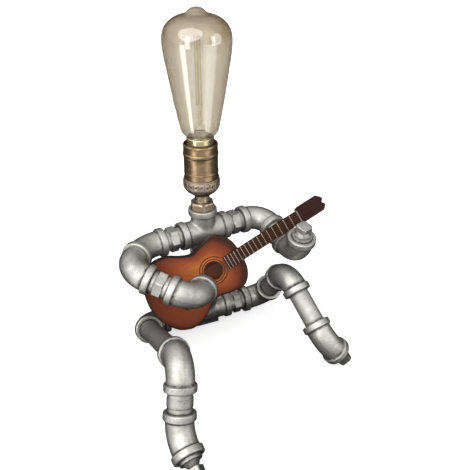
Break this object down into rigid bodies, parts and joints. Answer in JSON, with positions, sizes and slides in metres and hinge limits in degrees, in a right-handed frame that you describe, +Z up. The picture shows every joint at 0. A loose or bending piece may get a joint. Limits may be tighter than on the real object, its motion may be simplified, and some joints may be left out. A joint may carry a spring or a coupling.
{
  "type": "desk lamp",
  "caption": "Desk lamp in the shape of a seated robot-like figure made of pipe fittings, with a filament bulb for its head and a small wooden guitar in its arms.",
  "frame": {"origin": "centre of the flat underside of the rubber pad under the hip tee, on the table top", "axes": "+Z up through the torso and the bulb; the figure faces -Y and its left arm reaches towards +X"},
  "size_m": [0.2393, 0.2244, 0.3501],
  "materials": {
    "fittings": "galvanised, satin",
    "pipes": "galvanised, satin",
    "pad_rubber": "matt",
    "brass": "polished",
    "bronze": "antique bronze",
    "liner_board": "matt",
    "core_plastic": "gloss",
    "contact_brass": "bright",
    "wire_cover": "matt",
    "bulb_glass": "clear, amber tint",
    "bulb_base": "bright",
    "insulator": "black glass",
    "solder": "soft",
    "stem_glass": "clear",
    "filament": "satin",
    "spruce": "satin lacquer, sunburst",
    "mahogany": "satin lacquer",
    "rosewood": "satin",
    "bone": "satin",
    "fret_metal": "polished",
    "string_metal": "polished",
    "bracket": "satin"
  },
  "bodies": {
    "pelvis": {"hip_tee": "fittings", "seat_pad": "pad_rubber", "cord_grommet": "pad_rubber", "hip_nipple_r": "fittings", "hip_nipple_l": "fittings"},
    "chest": {"torso_pipe": "pipes", "chest_cross": "fittings", "shoulder_nipple_r": "fittings", "shoulder_nipple_l": "fittings", "neck_bushing": "brass", "guitar_bracket": "bracket", "guitar_top": "spruce", "guitar_back": "mahogany", "guitar_ribs": "mahogany", "guitar_binding": "rosewood", "guitar_rosette": "rosewood", "guitar_neck": "mahogany", "guitar_fretboard": "rosewood", "guitar_frets": "fret_metal", "guitar_nut": "bone", "guitar_headstock": "mahogany", "guitar_bridge": "rosewood", "guitar_saddle": "bone", "guitar_strings": "string_metal"},
    "head": {"neck_tube": "brass", "socket_cap": "bronze", "socket_shell": "bronze", "socket_liner": "liner_board", "socket_core": "core_plastic", "screw_shell": "contact_brass", "centre_contact": "contact_brass", "lead_wires": "wire_cover"},
    "bulb": {"bulb_glass": "bulb_glass", "bulb_base": "bulb_base", "bulb_insulator": "insulator", "bulb_tip": "solder", "bulb_stem": "stem_glass", "bulb_filament": "filament"},
    "upper_arm_r": {"upper_arm_bend_r": "fittings"},
    "forearm_r": {"street_elbow_r": "fittings", "wrist_nipple_r": "fittings"},
    "hand_r": {"hand_elbow_r": "fittings"},
    "arm_l": {"shoulder_elbow_l": "fittings", "forearm_nipple_l": "fittings"},
    "hand_l": {"hand_elbow_l": "fittings", "hand_plug_l": "fittings"},
    "thigh_r": {"hip_elbow_r": "fittings", "thigh_pipe_r": "pipes"},
    "shin_r": {"knee_elbow_r": "fittings", "shin_nipple_r": "fittings"},
    "foot_r": {"ankle_bend_r": "fittings", "toe_plug_r": "fittings"},
    "thigh_l": {"hip_elbow_l": "fittings", "thigh_pipe_l": "pipes"},
    "shin_l": {"knee_elbow_l": "fittings", "shin_pipe_l": "pipes"},
    "foot_l": {"ankle_bend_l": "fittings", "toe_plug_l": "fittings"}
  },
  "joints": [
    {"name": "waist", "type": "hinge", "parent": "pelvis", "child": "chest", "pos_m": [0, 0, 0.047], "axis": [0, 0, 1], "range_deg": [-4, 15]},
    {"name": "head_swivel", "type": "hinge", "parent": "chest", "child": "head", "pos_m": [0, 0, 0.155], "axis": [0, 0, 1], "range_deg": [-90, 90]},
    {"name": "bulb_lift", "type": "slide", "parent": "head", "child": "bulb", "axis": [0, 0, 1], "range_m": [0, 0.03]},
    {"name": "shoulder_right", "type": "hinge", "parent": "chest", "child": "upper_arm_r", "pos_m": [-0.068, 0, 0.123], "axis": [1, 0, 0], "range_deg": [-45, 0]},
    {"name": "elbow_right", "type": "hinge", "parent": "upper_arm_r", "child": "forearm_r", "pos_m": [-0.10053, -0.03245, 0.12527], "axis": [-0.7071, -0.7054, 0.0493], "range_deg": [-9, 30]},
    {"name": "wrist_right", "type": "hinge", "parent": "forearm_r", "child": "hand_r", "pos_m": [-0.05168, -0.08303, 0.10222], "axis": [0.6601, -0.6835, -0.3114], "range_deg": [-90, 90]},
    {"name": "shoulder_left", "type": "hinge", "parent": "chest", "child": "arm_l", "pos_m": [0.074, 0, 0.123], "axis": [1, 0, 0], "range_deg": [0, 6]},
    {"name": "elbow_left", "type": "hinge", "parent": "arm_l", "child": "hand_l", "pos_m": [0.074, -0.0721, 0.10635], "axis": [0, -0.9744, -0.225], "range_deg": [-45, 45]},
    {"name": "hip_right", "type": "hinge", "parent": "pelvis", "child": "thigh_r", "pos_m": [-0.07345, 0.00902, 0.017], "axis": [0.9925, -0.1219, 0], "range_deg": [0, 30]},
    {"name": "knee_right", "type": "hinge", "parent": "thigh_r", "child": "shin_r", "pos_m": [-0.09043, -0.12929, 0.08257], "axis": [-0.1103, -0.8981, 0.4258], "range_deg": [-30, 30]},
    {"name": "ankle_right", "type": "hinge", "parent": "shin_r", "child": "foot_r", "pos_m": [-0.10791, -0.15567, 0.02239], "axis": [-0.2571, -0.388, -0.8851], "range_deg": [-90, 90]},
    {"name": "hip_left", "type": "hinge", "parent": "pelvis", "child": "thigh_l", "pos_m": [0.07345, -0.00902, 0.017], "axis": [0.9925, -0.1219, 0], "range_deg": [-6, 30]},
    {"name": "knee_left", "type": "hinge", "parent": "thigh_l", "child": "shin_l", "pos_m": [0.06695, -0.06198, 0.08444], "axis": [-0.0756, -0.6158, 0.7842], "range_deg": [-30, 30]},
    {"name": "ankle_left", "type": "hinge", "parent": "shin_l", "child": "foot_l", "pos_m": [0.07367, -0.12973, 0.03189], "axis": [0.0782, -0.7877, -0.611], "range_deg": [-90, 90]}
  ]
}
